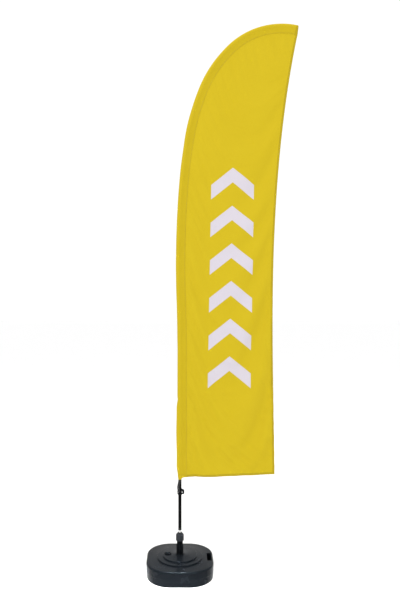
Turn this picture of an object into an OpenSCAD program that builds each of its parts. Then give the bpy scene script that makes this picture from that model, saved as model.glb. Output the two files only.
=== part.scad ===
// Feather flag on a water-filled base, standing on the floor.
// Origin: pole axis at the underside of the base. +Z up, +X towards the flag's
// free edge, +Y away from the printed side. Millimetres.

/* [Base] */
// Side of the square base
base_side = 374; // [372:1:400]
// Corner radius of the base, seen from above
base_corner = 136; // [110:1:150]
// Height of the base at its rim
rim_h = 84; // [76:1:96]
// Rounding along the top edge
edge_round = 10; // [6:1:14]
// Inward lean of the side walls at the floor
wall_lean = 3; // [1:0.5:5]
// Height of each of the two round steps on the top
step_h = 8; // [5:1:10]
// Radius of the lower round step
step_outer_r = 128; // [120:1:136]
// Radius of the upper round step
step_inner_r = 97; // [92:1:104]
// Wall thickness of the hollow tank
tank_wall = 3; // [2:0.5:4]
// Water level inside the tank
water_level = 76; // [40:1:78]

/* [Carrying slot and filler] */
// Distance of the slot's centre from the pole axis
slot_x = 165; // [160:1:167]
// Width of the slot
slot_w = 25; // [20:1:28]
// Length of the slot
slot_len = 94; // [80:1:100]
// Filler cap, distance to the left of the pole axis
filler_x = 68; // [60:1:72]
// Filler cap, distance behind the pole axis
filler_y = 8; // [0:1:14]
// Radius of the filler cap
cap_r = 18.5; // [17:0.5:20]
// Radius of the filler hole
filler_hole_r = 13; // [11:0.5:14]

/* [Stand and clamp] */
// Outer radius of the stand tube
stand_r = 19.5; // [19:0.5:21]
// Height where the stand tube narrows to its threaded neck
neck_start = 158; // [150:1:165]
// Radius of the threaded neck
neck_r = 17; // [16.5:0.1:17.5]
// Underside of the clamp nut
nut_bottom = 178; // [174:1:182]
// Largest radius of the clamp nut
nut_r = 22.3; // [21.5:0.1:24]
// Radius of the steel spindle
spindle_r = 8; // [7.8:0.1:8]

/* [Pole] */
// Height of the pole's lower end above the floor
pole_foot_z = 237; // [236:1:240]
// Outer radius of the lowest pole section
pole_r = 9.25; // [9:0.05:9.5]
// Wall thickness of the pole tubes
tube_wall = 1.5; // [1.2:0.1:1.6]
// Length of the lowest section above its foot
first_section = 740; // [700:5:780]
// Showing length of each of the three upper sections
upper_section = 820; // [800:5:822]
// Length that each upper section plugs into the one below
plug_in = 50; // [40:1:60]

/* [Flag] */
// Height of the sleeve's lower end
sleeve_bottom_z = 534; // [525:1:545]
// From the pole's centre line to the sleeve's outer edge
sleeve_out = 14; // [13:0.1:15]
// From the pole's centre line to the sleeve's seam
sleeve_in = 39; // [36:0.5:42]
// Thickness of the flag cloth
cloth = 0.5; // [0.4:0.1:0.8]
// Width of the hems
hem_w = 12; // [10:1:15]
// Height of the flag's lower edge at the sleeve
lower_edge_z = 532; // [530:1:536]
// Height of the free lower corner
free_corner_z = 550; // [545:1:560]
// Distance of the free lower corner from the pole axis
free_corner_x = 536; // [525:1:545]

/* [Tension strap] */
// Width of the webbing strap
strap_w = 13; // [10:1:14]
// Height of the hook's clamp ring
hook_z = 437; // [434:1:439]

/* [Hidden] */

round_fn = 96;
bend_fn = 240;
// Sides of a faceted sweep's round outline, and the turn between its rings
round_sides = 20;
ring_turn = 2.5;
cloth_colour = [0.86, 0.75, 0.12];
hem_colour = [0.80, 0.68, 0.09];
plastic_colour = [0.15, 0.17, 0.20];
pole_colour = [0.06, 0.06, 0.07];
steel_colour = [0.78, 0.79, 0.80];
collar_colour = [0.35, 0.36, 0.38];

// The base: levels of its top, its straight length and the socket for the tube
straight = base_side - 2 * base_corner;
half_straight = straight / 2;
step_1_z = rim_h + step_h;
top_z = rim_h + 2 * step_h;
collar_r = 26;
collar_h = 5;
socket_floor = 18;
socket_post_r = stand_r + 3.5;
filler_neck_r = filler_hole_r + 3;
filler_neck_bottom = top_z - 16;
seal_t = 1.5;

// The clamp: a slotted collet, a ring that squeezes it and the nut over both
fit_gap = 0.05;
neck_top = nut_bottom + 15;
collet_flange_top = neck_top + 5;
slip_bottom = collet_flange_top + 1;
slip_top = slip_bottom + 10;
nut_shoulder = slip_top + 0.3;
nut_top = nut_bottom + 42;
collet_top = nut_top + 5;
collet_flange_r = 16.5;
collet_cone_r = 15.4;
collet_tip_r = 11.4;
cone_gap = 0.4;
slip_r = 16.8;
flute_count = 12;

// The swivel: a 6 x 13 x 5 mm ball bearing in the spindle's head
spindle_bottom = 60;
spindle_top = 227.5;
race_z = 221.5;
race_h = 5;
race_out_r = 6.5;
race_in_r = 3;
ball_r = 1.15;
ball_ring_r = (race_out_r + race_in_r) / 2;
ball_count = 9;
rotor_flange_z = 229;
pin_r = 7.4;
pin_len = 160;
foot_h = 12;

// The pole's centre line as straight and curved stretches: [length, turn in degrees].
// It rises straight, bows out by 2 degrees and then curls over towards the free edge.
BENDS = [[1000, 0], [300, 2], [600, -6], [300, -5], [300, -13], [300, -25], [406, -55.5]];

// Outer radius of each pole section; each fits into the one below
section_step = tube_wall + 0.15;
section_r = [for (i = [0 : 3]) pole_r - i * section_step];
section_end = [for (i = [0 : 3]) first_section + i * upper_section];
pole_tip = section_end[3] - 20;
collar_len = 36;
collar_wall = 1;
sleeve_start = sleeve_bottom_z - pole_foot_z;
cloth_gap = 0.3;

// The strap's route down the front of the pole: [x, z], upper end first
STRAP_ROUTE = [[0, 541], [-1, 525], [-5, 507], [-8, 491], [-9, 478], [-7, 466], [-4, 461]];
strap_t = 1.6;
strap_y = -15.8;
bar_r = 2.2;
bar_z = hook_z + 21;
hook_ring_h = 8.4;
hook_ring_r = 12;
screw_r = 2;
screw_y = 15.5;
screw_z = hook_z + hook_ring_h / 2;

// ---- The pole's centre line ----

function station(i) = i == 0 ? 0 : station(i - 1) + BENDS[i - 1][0];
function heading(i) = i == 0 ? 90 : heading(i - 1) + BENDS[i - 1][1];
function chord(length, turn) =
    turn == 0 ? length : 2 * length / (turn * PI / 180) * sin(turn / 2);
function along(length, turn, start) =
    chord(length, turn) * [cos(start + turn / 2), sin(start + turn / 2)];
function bend_start(i) =
    i == 0 ? [0, pole_foot_z]
           : bend_start(i - 1) + along(BENDS[i - 1][0], BENDS[i - 1][1], heading(i - 1));
function bend_of(s, i = 0) = (i == len(BENDS) - 1 || s < station(i + 1)) ? i : bend_of(s, i + 1);
function turned(i, run) = BENDS[i][1] * run / BENDS[i][0];

pole_end = station(len(BENDS));
patch_len = 3;

// Point at arc length s along the pole, moved off the centre line towards the flag
function pole_point(s, off = 0) =
    let (i = bend_of(s), run = s - station(i), h = heading(i) + turned(i, run))
    bend_start(i) + along(run, turned(i, run), heading(i)) + off * [sin(h), -cos(h)];

// One straight stretch of a 2D profile, or one that bends over towards the flag:
// x towards the flag, y sideways
module stretch(length, turn) {
    radius = turn == 0 ? 0 : -length / (turn * PI / 180);
    if (turn == 0)
        linear_extrude(length) children();
    else
        translate([radius, 0, 0]) rotate([90, 0, 180])
            rotate_extrude(angle = -turn, $fn = bend_fn)
                translate([radius, 0]) mirror([1, 0]) children();
}

// The profile swept along the pole between two arc lengths, for a piece within one stretch
module follow_pole(from, to) {
    for (i = [0 : len(BENDS) - 1]) {
        a = max(from, station(i)) - station(i);
        b = min(to, station(i) + BENDS[i][0]) - station(i);
        p = bend_start(i) + along(a, turned(i, a), heading(i));
        if (b > a)
            translate([p[0], 0, p[1]])
                rotate([0, 90 - heading(i) - turned(i, a), 0])
                    stretch(b - a, turned(i, b - a)) children();
    }
}

function sorted(list) =
    len(list) <= 1 ? list
    : concat(sorted([for (x = list) if (x < list[0]) x]), [list[0]],
             sorted([for (x = list) if (x > list[0]) x]));

// Arc lengths that every faceted sweep has a ring at: the ends of bends, sections and collars
KNOTS = sorted(concat([for (i = [0 : len(BENDS)]) station(i)],
                      [for (i = [0 : 2]) each [section_end[i] - plug_in,
                                               section_end[i] - collar_len, section_end[i]]]));

// The rings between them, one every few degrees of turn
RING_STATIONS = [for (k = [0 : len(KNOTS) - 2])
                     let (run = KNOTS[k + 1] - KNOTS[k],
                          n = max(1, ceil(abs(turned(bend_of(KNOTS[k]), run)) / ring_turn)))
                     for (j = [0 : n - 1]) KNOTS[k] + run * j / n];

function stations_between(from, to) =
    concat([from], [for (s = RING_STATIONS) if (s > from + 1 && s < to - 1) s], [to]);

// The same sweep as one closed mesh, for pieces that run through several bends.
// The outline's points go anticlockwise: [towards the flag, sideways].
module sweep_along_pole(from, to, outline) {
    stations = stations_between(from, to);
    n = len(outline);
    last = len(stations) - 1;
    points = [for (s = stations, o = outline)
                 let (p = pole_point(s, o[0])) [p[0], o[1], p[1]]];
    sides = [for (k = [0 : last - 1], j = [0 : n - 1])
                let (a = k * n + j, b = k * n + (j + 1) % n) [a + n, b + n, b, a]];
    start_face = [for (j = [0 : n - 1]) j];
    end_face = [for (j = [n - 1 : -1 : 0]) last * n + j];
    polyhedron(points, concat([start_face], sides, [end_face]));
}

function round_outline(r) =
    [for (j = [0 : round_sides - 1]) r * [cos(360 / round_sides * j), sin(360 / round_sides * j)]];

module ring(outer, inner) {
    difference() {
        circle(outer, $fn = round_fn);
        circle(inner, $fn = round_fn);
    }
}

module tube(outer, inner, from, to) {
    translate([0, 0, from])
        linear_extrude(to - from) ring(outer, inner);
}

// ---- Base ----

// Half section through the wall of a rounded block, out to its corner radius
module edge_profile(corner, height, rounding, lean) {
    polygon([[0, 0], [corner - lean, 0], [corner, height - rounding],
             [corner - rounding, height], [0, height]]);
    intersection() {
        translate([corner - rounding, height - rounding]) circle(rounding, $fn = round_fn);
        translate([corner - rounding, height - rounding]) square(rounding);
    }
}

// A block with a rounded-square plan: four turned corners and four straight sides
module rounded_block(corner, height, rounding, lean) {
    for (quarter = [0 : 3])
        rotate(90 * quarter) translate([half_straight, half_straight, 0]) {
            rotate_extrude(angle = 90, $fn = round_fn)
                edge_profile(corner, height, rounding, lean);
            rotate([90, 0, 0])
                linear_extrude(straight) edge_profile(corner, height, rounding, lean);
        }
    translate([-half_straight, -half_straight, 0]) cube([straight, straight, height]);
}

module slot_block(grow, from, to) {
    translate([slot_x - slot_w / 2 - grow, -slot_len / 2 - grow, from])
        cube([slot_w + 2 * grow, slot_len + 2 * grow, to - from]);
}

// What stands inside the tank: the tube's socket, the filler neck and the slot's walls
module tank_inner_walls(grow) {
    cylinder(r = socket_post_r + grow, h = top_z, $fn = round_fn);
    translate([-filler_x, filler_y, filler_neck_bottom - grow])
        cylinder(r = filler_neck_r + grow, h = top_z - filler_neck_bottom + grow, $fn = round_fn);
    slot_block(tank_wall + grow, 0, rim_h);
}

module tank_cavity() {
    difference() {
        union() {
            translate([0, 0, tank_wall])
                rounded_block(base_corner - tank_wall, rim_h - 2 * tank_wall,
                              edge_round - tank_wall, wall_lean);
            cylinder(r = step_outer_r - tank_wall, h = step_1_z - tank_wall, $fn = round_fn);
            cylinder(r = step_inner_r - tank_wall, h = top_z - tank_wall, $fn = round_fn);
        }
        tank_inner_walls(0);
        translate([0, 0, -1]) cylinder(r = base_side, h = tank_wall + 1, $fn = round_fn);
    }
}

module base_tank() {
    color(plastic_colour)
        difference() {
            union() {
                rounded_block(base_corner, rim_h, edge_round, wall_lean);
                cylinder(r = step_outer_r, h = step_1_z, $fn = round_fn);
                cylinder(r = step_inner_r, h = top_z, $fn = round_fn);
                cylinder(r = collar_r, h = top_z + collar_h, $fn = round_fn);
            }
            tank_cavity();
            slot_block(0, -1, rim_h + 1);
            translate([0, 0, socket_floor])
                cylinder(r = stand_r + fit_gap, h = top_z, $fn = round_fn);
            translate([-filler_x, filler_y, filler_neck_bottom - 1])
                cylinder(r = filler_hole_r, h = top_z, $fn = round_fn);
        }
}

module ballast_water() {
    gap = 0.4;
    color([0.55, 0.70, 0.80])
        difference() {
            translate([0, 0, tank_wall + gap])
                rounded_block(base_corner - tank_wall - wall_lean - gap,
                              water_level - tank_wall - gap, 1, 0);
            tank_inner_walls(gap);
        }
}

module filler_cap() {
    disc_z = top_z + seal_t + 0.1;
    disc_h = 4.4;
    plug_len = 10;
    grip_w = 5;
    grip_h = 3;
    grip_half = cap_r * 0.7;
    notches = 18;
    notch_r = 1.6;
    color(plastic_colour)
        translate([-filler_x, filler_y, 0]) {
            translate([0, 0, top_z - plug_len])
                cylinder(r = filler_hole_r - fit_gap, h = disc_z - top_z + plug_len,
                         $fn = round_fn);
            difference() {
                translate([0, 0, disc_z]) cylinder(r = cap_r, h = disc_h, $fn = round_fn);
                for (i = [0 : notches - 1])
                    rotate(360 / notches * i) translate([cap_r + 0.6, 0, disc_z - 1])
                        cylinder(r = notch_r, h = disc_h + 2, $fn = 24);
            }
            translate([-grip_half, -grip_w / 2, disc_z + disc_h])
                cube([2 * grip_half, grip_w, grip_h]);
        }
}

module filler_seal() {
    color([0.05, 0.05, 0.05])
        translate([-filler_x, filler_y, top_z]) tube(16.5, filler_hole_r + 0.2, 0, seal_t);
}

// ---- Stand tube and clamp ----

module stand_tube() {
    color(plastic_colour)
        rotate_extrude($fn = round_fn)
            polygon([[spindle_r + fit_gap, socket_floor], [stand_r, socket_floor],
                     [stand_r, neck_start - 1.5], [stand_r - 1.5, neck_start],
                     [neck_r, neck_start], [neck_r, neck_top],
                     [spindle_r + fit_gap, neck_top]]);
}

module clamp_collet() {
    jaw_slot = 8;
    color([0.10, 0.10, 0.11])
        difference() {
            rotate_extrude($fn = round_fn)
                polygon([[spindle_r + fit_gap, neck_top], [collet_flange_r, neck_top],
                         [collet_flange_r, collet_flange_top], [collet_cone_r, slip_bottom],
                         [collet_tip_r, slip_top], [collet_tip_r, collet_top - 1],
                         [collet_tip_r - 1, collet_top], [spindle_r + fit_gap, collet_top]]);
            translate([-jaw_slot / 2, -30, slip_bottom]) cube([jaw_slot, 60, 40]);
        }
}

module clamp_slip_ring() {
    color([0.85, 0.85, 0.82])
        rotate_extrude($fn = round_fn)
            polygon([[collet_cone_r + cone_gap, slip_bottom + 0.3],
                     [slip_r, slip_bottom + 0.3], [slip_r, slip_top],
                     [collet_tip_r + cone_gap, slip_top]]);
}

module clamp_nut() {
    flute_r = 3;
    color([0.22, 0.23, 0.25])
        difference() {
            rotate_extrude($fn = round_fn)
                polygon([[neck_r + fit_gap, nut_bottom], [nut_r - 1.8, nut_bottom],
                         [nut_r, nut_bottom + 2.5], [nut_r, nut_top - 10],
                         [nut_r - 2, nut_top - 6], [14.5, nut_top],
                         [collet_tip_r + 0.4, nut_top],
                         [collet_tip_r + 0.4, nut_shoulder],
                         [neck_r + fit_gap, nut_shoulder]]);
            for (i = [0 : flute_count - 1])
                rotate(360 / flute_count * (i + 0.5))
                    translate([nut_r + flute_r * 0.55, 0, nut_bottom + 5])
                        cylinder(r = flute_r, h = nut_top - nut_bottom, $fn = 32);
        }
}

// ---- Spindle and bearing ----

module spindle_shank() {
    color(steel_colour)
        rotate_extrude($fn = round_fn)
            polygon([[0, spindle_bottom], [spindle_r - 1, spindle_bottom],
                     [spindle_r, spindle_bottom + 2], [spindle_r, spindle_top],
                     [race_out_r, spindle_top], [race_out_r, race_z],
                     [race_out_r - 1.2, race_z], [race_out_r - 1.2, race_z - 1.5],
                     [0, race_z - 1.5]]);
}

// A bearing race with its ball groove
module race(outer, inner) {
    rotate_extrude($fn = round_fn)
        difference() {
            translate([inner, race_z]) square([outer - inner, race_h]);
            translate([ball_ring_r, race_z + race_h / 2]) circle(ball_r + 0.02, $fn = 48);
        }
}

module bearing_outer_race() {
    color(steel_colour) race(race_out_r, ball_ring_r + 0.5);
}

module bearing_inner_race() {
    color(steel_colour) race(ball_ring_r - 0.5, race_in_r);
}

module bearing_balls() {
    color(steel_colour)
        for (i = [0 : ball_count - 1])
            rotate(360 / ball_count * i)
                translate([ball_ring_r, 0, race_z + race_h / 2]) sphere(ball_r, $fn = 32);
}

module rotor_pin() {
    stub_bottom = race_z - 0.5;
    pin_top = pole_foot_z + pin_len;
    color(steel_colour)
        rotate_extrude($fn = round_fn)
            polygon([[0, stub_bottom], [race_in_r, stub_bottom],
                     [race_in_r, race_z + race_h], [race_in_r + 0.8, race_z + race_h],
                     [race_in_r + 0.8, rotor_flange_z], [pole_r - 0.5, rotor_flange_z],
                     [pole_r, rotor_flange_z + 0.5], [pole_r, pole_foot_z],
                     [pin_r, pole_foot_z], [pin_r, pin_top - 3], [pin_r - 2.5, pin_top],
                     [0, pin_top]]);
}

// ---- Pole ----

module pole_foot() {
    color([0.05, 0.05, 0.05])
        tube(pole_r + 0.25, pin_r + fit_gap, pole_foot_z, pole_foot_z + foot_h);
}

// The lowest section, a straight tube
module pole_section_1() {
    color(pole_colour)
        follow_pole(foot_h, section_end[0]) ring(pole_r, pole_r - tube_wall);
}

// Section number i of the upper three, counted from 1; the last one is a solid rod
module upper_pole_section(i) {
    from = section_end[i - 1] - plug_in;
    to = i == 3 ? pole_tip : section_end[i];
    color(pole_colour)
        difference() {
            sweep_along_pole(from, to, round_outline(section_r[i]));
            if (i < 3)
                sweep_along_pole(from - 2, to + 2, round_outline(section_r[i] - tube_wall));
        }
}

// Collar over the upper end of the straight lowest section
module first_pole_collar() {
    color(collar_colour)
        follow_pole(section_end[0] - collar_len, section_end[0])
            ring(pole_r + collar_wall, pole_r + fit_gap);
}

// Collar over the upper end of section i, counted from 0
module upper_pole_collar(i) {
    from = section_end[i] - collar_len;
    color(collar_colour)
        difference() {
            sweep_along_pole(from, section_end[i], round_outline(section_r[i] + collar_wall));
            sweep_along_pole(from - 2, section_end[i] + 2,
                             round_outline(section_r[i] + fit_gap));
        }
}

module pole_end_cap() {
    cap_len = 24;
    seat_len = 16;
    cap_outer_r = 7;
    color([0.05, 0.05, 0.05])
        difference() {
            follow_pole(pole_tip - seat_len, pole_tip - seat_len + cap_len)
                circle(cap_outer_r, $fn = round_fn);
            follow_pole(pole_tip - seat_len - 1, pole_tip + 0.1)
                circle(section_r[3] + 0.2, $fn = round_fn);
        }
}

// ---- Tension hook and strap ----

// The bracket in front that the strap loops into: cheeks, shelf and cross bar
module strap_bracket() {
    cheek = 2;
    left = -15;
    right = 7;
    front_y = -17.6;
    back_y = -8.6;
    shelf_z = hook_z + 3.5;
    shelf_h = 5;
    cheek_top = bar_z + bar_r;
    translate([0, back_y, 0]) rotate([90, 0, 0]) linear_extrude(back_y - front_y)
        difference() {
            polygon([[left + 4, shelf_z], [right, shelf_z], [right, cheek_top],
                     [left, cheek_top], [left, shelf_z + 9]]);
            polygon([[left + cheek + 3, shelf_z + shelf_h], [right - cheek, shelf_z + shelf_h],
                     [right - cheek, cheek_top + 1], [left + cheek, cheek_top + 1],
                     [left + cheek, shelf_z + 10]]);
        }
    translate([left + 1, -15.2, bar_z])
        rotate([0, 90, 0]) cylinder(r = bar_r, h = right - left - 2, $fn = 32);
}

// The eye at the right, outline and hole in the plane of the flag
module cord_eye() {
    eye_t = 8;
    eye_x = 19.8;
    eye_r = 5;
    eye_low = hook_z + eye_r + 3;
    eye_high = hook_z + 22;
    arm_top = hook_z + 34;
    hole_r = 1;
    hole_left = 10;
    hole_low = hook_z + 9.6;
    hole_w = 5;
    hole_h = 6.4;
    translate([0, eye_t / 2, 0]) rotate([90, 0, 0]) linear_extrude(eye_t)
        difference() {
            union() {
                polygon([[0, hook_z + 1], [eye_x, eye_low - eye_r], [eye_x + eye_r, eye_low],
                         [eye_x + eye_r, eye_high],
                         [eye_x + eye_r * cos(60), eye_high + eye_r * sin(60)], [0, arm_top + 5]]);
                for (z = [eye_low, eye_high])
                    translate([eye_x, z]) circle(eye_r, $fn = 48);
            }
            translate([hole_left + hole_r, hole_low]) square([hole_w - 2 * hole_r, hole_h]);
            translate([hole_left, hole_low + hole_r]) square([hole_w, hole_h - 2 * hole_r]);
            for (x = [hole_left + hole_r, hole_left + hole_w - hole_r],
                 z = [hole_low + hole_r, hole_low + hole_h - hole_r])
                translate([x, z]) circle(hole_r, $fn = 24);
        }
}

module tension_hook() {
    lug_w = 12;
    lug_h = 7.4;
    slit_w = 1.6;
    color([0.06, 0.06, 0.07])
        difference() {
            union() {
                translate([0, 0, hook_z])
                    cylinder(r = hook_ring_r, h = hook_ring_h, $fn = round_fn);
                translate([-lug_w / 2, 0, screw_z - lug_h / 2]) cube([lug_w, 20, lug_h]);
                strap_bracket();
                cord_eye();
            }
            translate([0, 0, hook_z - 1])
                cylinder(r = pole_r + 0.03, h = 50, $fn = round_fn);
            translate([-slit_w / 2, 0, hook_z - 1]) cube([slit_w, 30, 30]);
            translate([-20, screw_y, screw_z])
                rotate([0, 90, 0]) cylinder(r = screw_r + fit_gap, h = 40, $fn = 32);
        }
}

// A socket-head screw and its nut across the hook's slit
module hook_screw() {
    head_r = 3.6;
    head_x = -9.6;
    nut_x = 6.1;
    color(steel_colour)
        translate([0, screw_y, screw_z]) rotate([0, 90, 0]) {
            translate([0, 0, head_x + 1]) cylinder(r = screw_r, h = nut_x - head_x + 1, $fn = 32);
            difference() {
                translate([0, 0, head_x]) cylinder(r = head_r, h = 3.5, $fn = 32);
                translate([0, 0, head_x - 0.4]) cylinder(r = 1.8, h = 2, $fn = 6);
            }
            translate([0, 0, nut_x]) cylinder(r = 3.8, h = 3, $fn = 6);
        }
}

module tension_strap() {
    left = [for (p = STRAP_ROUTE) [p[0] - strap_w / 2, p[1]]];
    right = [for (i = [len(STRAP_ROUTE) - 1 : -1 : 0])
                [STRAP_ROUTE[i][0] + strap_w / 2, STRAP_ROUTE[i][1]]];
    color([0.05, 0.05, 0.05])
        translate([0, strap_y + strap_t, 0]) rotate([90, 0, 0])
            linear_extrude(strap_t) polygon(concat(left, right));
}

module sleeve_foot_tab() {
    color(cloth_colour)
        translate([0, strap_y - 0.1, 0]) rotate([90, 0, 0])
            linear_extrude(0.8)
                polygon([[-13, 553], [29, 553], [29, 544], [5, 525], [-9, 525], [-13, 538]]);
}

// ---- Flag ----

// The folded sleeve: a loose tube round the pole, closed flat out to its seam
module pole_sleeve() {
    half_open = asin(cloth / sleeve_out);
    rounds = [for (j = [0 : round_sides])
                 let (a = half_open + (360 - 2 * half_open) * j / round_sides)
                 sleeve_out * [cos(a), sin(a)]];
    outline = concat([[sleeve_in, cloth]], rounds, [[sleeve_in, -cloth]]);
    color(hem_colour)
        difference() {
            sweep_along_pole(sleeve_start, pole_end - patch_len, outline);
            sweep_along_pole(sleeve_start - 2, pole_end - patch_len + 2,
                             round_outline(sleeve_out - cloth));
        }
}

// What closes the sleeve past the pole's tip
module sleeve_tip_patch() {
    color(hem_colour)
        follow_pole(pole_end - patch_len, pole_end) {
            circle(sleeve_out, $fn = round_fn);
            translate([0, -cloth]) square([sleeve_in, 2 * cloth]);
        }
}

// The free edge, a cubic curve from the lower corner up to the tip
tip_point = pole_point(pole_end, -sleeve_out);
FREE_EDGE = [[free_corner_x, free_corner_z], [534, 1124], [471, 2169],
             tip_point + [8, -2]];
function free_edge(t) =
    pow(1 - t, 3) * FREE_EDGE[0] + 3 * t * pow(1 - t, 2) * FREE_EDGE[1]
    + 3 * t * t * (1 - t) * FREE_EDGE[2] + pow(t, 3) * FREE_EDGE[3];

// Height of the lower edge at a distance x from the pole
function lower_edge(x) =
    lower_edge_z + (free_corner_z - lower_edge_z) * x / free_corner_x;

edge_steps = 32;
// Share of the free edge's curve that lies below the sleeve's end
edge_share = 0.981;
bottom_share = 0.007;
seam_off = sleeve_in + cloth_gap;
seam_start = sleeve_start + hem_w + 1;
seam_end = pole_end - hem_w + 1;

module upright(thickness) {
    translate([0, thickness / 2, 0]) rotate([90, 0, 0]) linear_extrude(thickness) children();
}

module flag_panel() {
    seam = [for (s = stations_between(seam_start, seam_end)) pole_point(s, seam_off)];
    inner_edge = [for (i = [edge_steps : -1 : 0])
                     free_edge(bottom_share + (edge_share - bottom_share) * i / edge_steps)
                     - [hem_w, 0]];
    color(cloth_colour) upright(cloth) polygon(concat(seam, inner_edge));
}

module free_edge_hem() {
    outer = [for (i = [0 : edge_steps])
                free_edge(bottom_share + (edge_share - bottom_share) * i / edge_steps)];
    inner = [for (i = [edge_steps : -1 : 0]) outer[i] - [hem_w, 0]];
    color(hem_colour) upright(2 * cloth) polygon(concat(outer, inner));
}

module bottom_hem() {
    left_x = seam_off;
    right = free_edge(bottom_share);
    color(hem_colour)
        upright(2 * cloth)
            polygon([[left_x, lower_edge(left_x)], [free_corner_x, free_corner_z], right,
                     [right[0] - hem_w, right[1]], pole_point(seam_start, seam_off)]);
}

base_tank();
ballast_water();
filler_cap();
filler_seal();
stand_tube();
clamp_collet();
clamp_slip_ring();
clamp_nut();
spindle_shank();
bearing_outer_race();
bearing_balls();
bearing_inner_race();
rotor_pin();
pole_foot();
pole_section_1();
upper_pole_section(1);  // pole_section_2
upper_pole_section(2);  // pole_section_3
upper_pole_section(3);  // pole_section_4
first_pole_collar();  // pole_collar_1
upper_pole_collar(1);  // pole_collar_2
upper_pole_collar(2);  // pole_collar_3
pole_end_cap();
tension_hook();
hook_screw();
tension_strap();
sleeve_foot_tab();
pole_sleeve();
sleeve_tip_patch();
flag_panel();
free_edge_hem();
bottom_hem();
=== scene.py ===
"""Feather flag on a water-filled base: the looks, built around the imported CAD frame.

Metres, in the CAD's frame: +Z up, +X towards the flag's free edge, the printed side faces -Y.
"""
import math

import bmesh
import bpy
import numpy as np
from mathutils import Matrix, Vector, noise


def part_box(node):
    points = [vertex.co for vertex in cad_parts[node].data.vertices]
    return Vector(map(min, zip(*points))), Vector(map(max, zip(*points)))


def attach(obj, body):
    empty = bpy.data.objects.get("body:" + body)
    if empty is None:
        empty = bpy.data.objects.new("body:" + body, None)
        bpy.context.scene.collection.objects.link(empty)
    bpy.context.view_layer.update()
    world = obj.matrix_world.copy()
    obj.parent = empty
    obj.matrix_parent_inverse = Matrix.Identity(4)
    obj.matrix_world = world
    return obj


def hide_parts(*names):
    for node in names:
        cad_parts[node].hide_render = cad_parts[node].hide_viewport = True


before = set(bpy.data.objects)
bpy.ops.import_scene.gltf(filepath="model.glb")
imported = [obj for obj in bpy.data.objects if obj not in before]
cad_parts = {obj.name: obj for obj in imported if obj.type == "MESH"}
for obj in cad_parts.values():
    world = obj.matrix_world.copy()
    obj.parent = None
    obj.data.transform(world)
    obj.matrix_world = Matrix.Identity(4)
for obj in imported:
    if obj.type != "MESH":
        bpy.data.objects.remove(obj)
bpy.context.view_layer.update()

scene = bpy.context.scene
MM = 0.001
TAU = 2 * math.pi


# ---- Camera, floor and light ----

def make_camera():
    data = bpy.data.cameras.new("front_camera")
    data.lens = 34.4
    data.shift_x = 0.0335
    data.clip_end = 200
    camera = bpy.data.objects.new("front_camera", data)
    camera.location = (0, -3.239, 1.535)
    camera.rotation_euler = (math.radians(90), 0, 0)
    scene.collection.objects.link(camera)
    scene.camera = camera


def area_light(name, place, target, size, power, spread=180):
    data = bpy.data.lights.new(name, "AREA")
    data.shape = "RECTANGLE"
    data.size, data.size_y = size
    data.energy = power
    data.spread = math.radians(spread)
    lamp = bpy.data.objects.new(name, data)
    lamp.location = place
    lamp.rotation_euler = (Vector(target) - Vector(place)).to_track_quat("-Z", "Y").to_euler()
    scene.collection.objects.link(lamp)


def make_world():
    """An even, nearly white studio all round."""
    world = bpy.data.worlds.new("studio")
    world.use_nodes = True
    background = world.node_tree.nodes["Background"]
    background.inputs["Color"].default_value = (1, 1, 1, 1)
    background.inputs["Strength"].default_value = 1.06
    scene.world = world
    scene.view_settings.view_transform = "Standard"


make_camera()
make_world()
area_light("key_soft", (-2.6, -3.4, 3.6), (0.2, 0, 1.4), (2.4, 2.4), 58)
area_light("fill_soft", (3.2, -3.0, 2.0), (0.2, 0, 1.3), (2.0, 3.0), 14)
area_light("back_soft", (2.4, 3.6, 3.0), (0.2, 0, 1.0), (2.6, 2.6), 40)
area_light("top_soft", (0.2, 0.3, 5.2), (0.2, 0, 0), (3.0, 3.0), 40)
area_light("edge_strip", (-0.09, -1.35, 2.75), (-0.05, -0.18, 0.06), (0.26, 0.06), 1.3, spread=12)


# ---- Node helpers for the materials ----

def principled(name, **values):
    """A material with one Principled shader, whose plain values are set on its own sockets."""
    material = bpy.data.materials.new(name)
    material.use_nodes = True
    tree = material.node_tree
    tree.nodes.clear()
    out = tree.nodes.new("ShaderNodeOutputMaterial")
    shader = tree.nodes.new("ShaderNodeBsdfPrincipled")
    tree.links.new(shader.outputs[0], out.inputs[0])
    for key, value in values.items():
        shader.inputs[key.replace("_", " ")].default_value = value
    return material, tree, shader


def put(tree, socket, value):
    """Link a socket, or set its value when given a number, vector or colour."""
    if isinstance(value, bpy.types.NodeSocket):
        tree.links.new(value, socket)
    else:
        socket.default_value = value


def math_node(tree, operation, a, b=0.0, clamp=False):
    node = tree.nodes.new("ShaderNodeMath")
    node.operation = operation
    node.use_clamp = clamp
    put(tree, node.inputs[0], a)
    put(tree, node.inputs[1], b)
    return node.outputs[0]


def split(tree, vector):
    node = tree.nodes.new("ShaderNodeSeparateXYZ")
    tree.links.new(vector, node.inputs[0])
    return node.outputs


def stretched(tree, vector, scale):
    node = tree.nodes.new("ShaderNodeMapping")
    node.inputs["Scale"].default_value = scale
    tree.links.new(vector, node.inputs["Vector"])
    return node.outputs[0]


def noise_node(tree, vector, scale, detail=3.0, roughness=0.5):
    node = tree.nodes.new("ShaderNodeTexNoise")
    node.inputs["Scale"].default_value = scale
    node.inputs["Detail"].default_value = detail
    node.inputs["Roughness"].default_value = roughness
    tree.links.new(vector, node.inputs["Vector"])
    return node.outputs["Fac"]


def remap(tree, value, low, high, to_low=0.0, to_high=1.0):
    node = tree.nodes.new("ShaderNodeMapRange")
    for socket, number in zip(node.inputs[1:5], (low, high, to_low, to_high)):
        socket.default_value = number
    tree.links.new(value, node.inputs[0])
    return node.outputs[0]


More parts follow.
